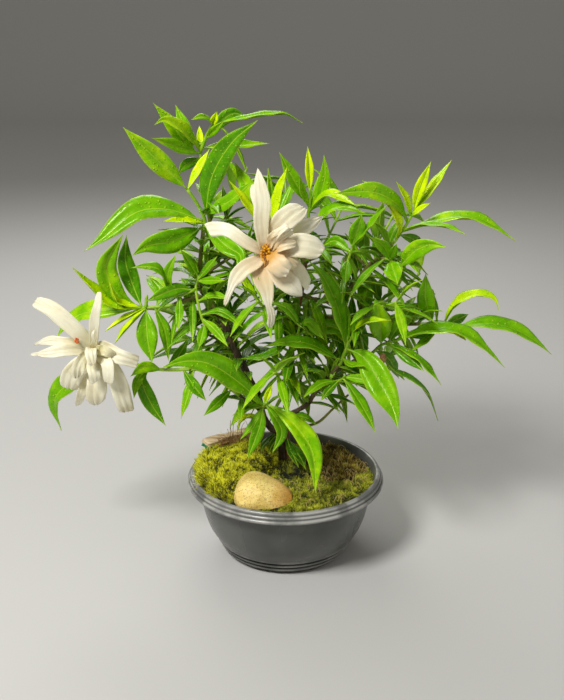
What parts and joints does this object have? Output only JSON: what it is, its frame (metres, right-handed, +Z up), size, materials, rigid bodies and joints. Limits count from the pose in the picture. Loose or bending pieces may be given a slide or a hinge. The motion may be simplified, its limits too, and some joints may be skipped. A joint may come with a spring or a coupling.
{
  "type": "gardenia bonsai",
  "caption": "Flowering gardenia trained as a small bonsai: woody frame, glossy opposite leaves and cream blooms, in a round dark plastic bowl with moss, a pebble and a wood strip.",
  "frame": {"origin": "centre of the pot's flat underside", "axes": "+Z up, +X to the right along the plant's widest spread, +Y to the back; the front, with both blooms, faces -Y"},
  "size_m": [0.3941, 0.2239, 0.3609],
  "materials": {
    "pot_plastic": "satin moulded plastic",
    "potting_soil": "crumbly",
    "moss_bright": "fibrous",
    "moss_dark": "fibrous",
    "moss_brown": "fibrous",
    "pebble": "smooth, worn",
    "old_wood": "weathered, sawn",
    "bark": "rough bark",
    "leaf": "glossy",
    "petal": "soft, velvety",
    "throat": "dull",
    "dry_bud": "dry, papery"
  },
  "bodies": {
    "root": {"pot": "pot_plastic", "soil": "potting_soil", "moss_bright": "moss_bright", "moss_dark": "moss_dark", "moss_brown": "moss_brown", "stone": "pebble", "wood_strip": "old_wood", "woody_frame": "bark", "top_left_leaves": "leaf", "left_high_leaves": "leaf", "left_outer_leaves": "leaf", "left_inner_leaves": "leaf", "left_low_leaves": "leaf", "low_front_leaves": "leaf", "front_right_leaves": "leaf", "right_middle_leaves": "leaf", "right_far_leaves": "leaf", "right_high_leaves": "leaf", "right_curl_leaves": "leaf", "middle_right_leaves": "leaf", "low_right_leaves": "leaf", "centre_leaves": "leaf", "top_bloom_leaves": "leaf", "top_middle_leaves": "leaf", "fill_00_leaves": "leaf", "fill_01_leaves": "leaf", "fill_02_leaves": "leaf", "fill_03_leaves": "leaf", "fill_04_leaves": "leaf", "fill_05_leaves": "leaf", "fill_06_leaves": "leaf", "fill_07_leaves": "leaf", "fill_08_leaves": "leaf", "fill_09_leaves": "leaf", "fill_10_leaves": "leaf", "fill_11_leaves": "leaf", "fill_12_leaves": "leaf", "fill_13_leaves": "leaf", "fill_14_leaves": "leaf", "fill_15_leaves": "leaf", "fill_16_leaves": "leaf", "top_bloom_petals": "petal", "left_bloom_petals": "petal", "top_bloom_centre": "throat", "left_bloom_centre": "throat", "dried_bud": "dry_bud"}
  },
  "joints": []
}
